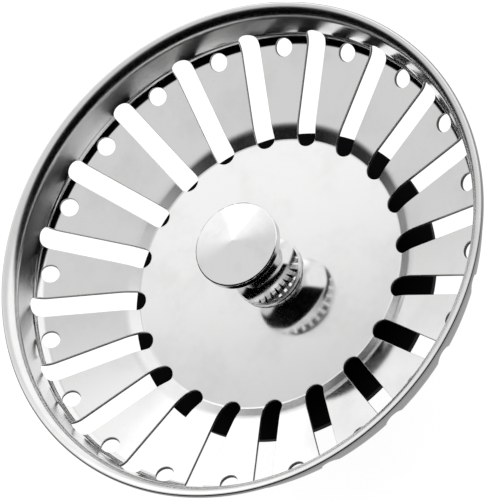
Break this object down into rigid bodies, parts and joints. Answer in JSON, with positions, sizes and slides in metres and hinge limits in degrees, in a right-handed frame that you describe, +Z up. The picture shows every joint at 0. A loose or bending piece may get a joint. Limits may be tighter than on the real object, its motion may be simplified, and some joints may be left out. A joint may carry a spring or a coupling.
{
  "type": "sink strainer",
  "caption": "Round pressed-steel sink strainer basket with radial slots and drain holes, a turned lift knob, and a rubber stopper on a sprung catch post below.",
  "frame": {"origin": "centre of the rim's seat, on the strainer's axis, in the plane of the rim's flat underside", "axes": "+Z up the axis to the knob; +X through a drain hole and one catch ball"},
  "size_m": [0.084, 0.084, 0.0407],
  "materials": {
    "polished_steel": "mirror-polished pressed stainless sheet",
    "chrome_plate": "bright chrome plate",
    "plain_steel": "plain turned or stamped stainless steel",
    "spring_steel": "drawn spring wire",
    "ball_steel": "polished bearing ball",
    "brass": "turned brass",
    "rubber": "moulded black rubber"
  },
  "bodies": {
    "basket": {"strainer_basket": "polished_steel", "guide_bush": "chrome_plate", "friction_ring": "rubber", "bush_washer": "plain_steel", "bush_nut": "brass"},
    "stopper": {"lift_knob": "chrome_plate", "lift_post": "plain_steel", "clamp_washer": "plain_steel", "rubber_stopper": "rubber", "backing_plate": "plain_steel", "lock_washer": "plain_steel", "catch_spigot": "brass", "catch_spring_left": "spring_steel", "catch_spring_right": "spring_steel"},
    "left_ball": {"catch_ball_left": "ball_steel"},
    "right_ball": {"catch_ball_right": "ball_steel"}
  },
  "joints": [
    {"name": "stopper_lift", "type": "slide", "parent": "basket", "child": "stopper", "axis": [0, 0, 1], "range_m": [0, 0.004]},
    {"name": "ball_left_press", "type": "slide", "parent": "stopper", "child": "left_ball", "axis": [1, 0, 0], "range_m": [0, 0.0008], "stiffness_N_per_m": 1500, "springref_m": -0.0004, "deforming": ["catch_spring_left"]},
    {"name": "ball_right_press", "type": "slide", "parent": "stopper", "child": "right_ball", "axis": [-1, 0, 0], "range_m": [0, 0.0008], "stiffness_N_per_m": 1500, "springref_m": -0.0004, "deforming": ["catch_spring_right"]}
  ]
}
